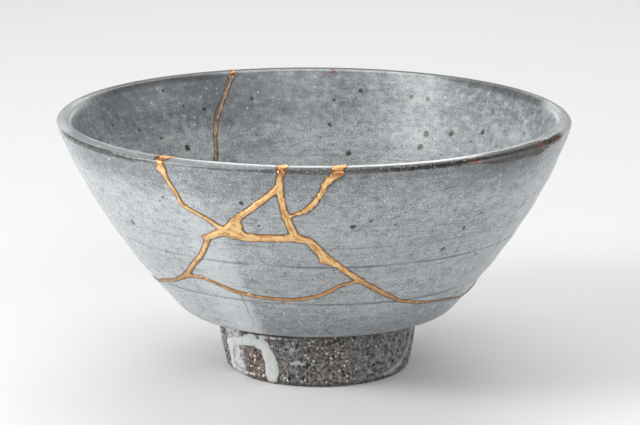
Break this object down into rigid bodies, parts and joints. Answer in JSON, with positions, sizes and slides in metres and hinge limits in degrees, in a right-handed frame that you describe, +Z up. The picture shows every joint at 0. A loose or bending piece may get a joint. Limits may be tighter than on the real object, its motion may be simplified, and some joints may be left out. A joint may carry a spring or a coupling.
{
  "type": "kintsugi bowl",
  "caption": "Wide flared stoneware bowl on a turned foot, broken into shards and mended with raised gold lacquer seams that run through the wall and over the rim.",
  "frame": {"origin": "on the standing surface, under the middle of the rim", "axes": "+Z up out of the bowl's mouth, -Y the front with the mended break, +X to the right of the front"},
  "size_m": [0.15, 0.1501, 0.0759],
  "materials": {
    "stoneware": "satin blue-grey glaze with iron specks, bare brown clay on the foot",
    "gold_lacquer": "brushed gold powder over lacquer, satin"
  },
  "bodies": {
    "root": {"base_with_foot": "stoneware", "left_wall_shard": "stoneware", "right_wall_shard": "stoneware", "front_left_rim_shard": "stoneware", "front_right_rim_shard": "stoneware", "centre_shard": "stoneware", "front_lower_shard": "stoneware", "gold_seams": "gold_lacquer"}
  },
  "joints": []
}
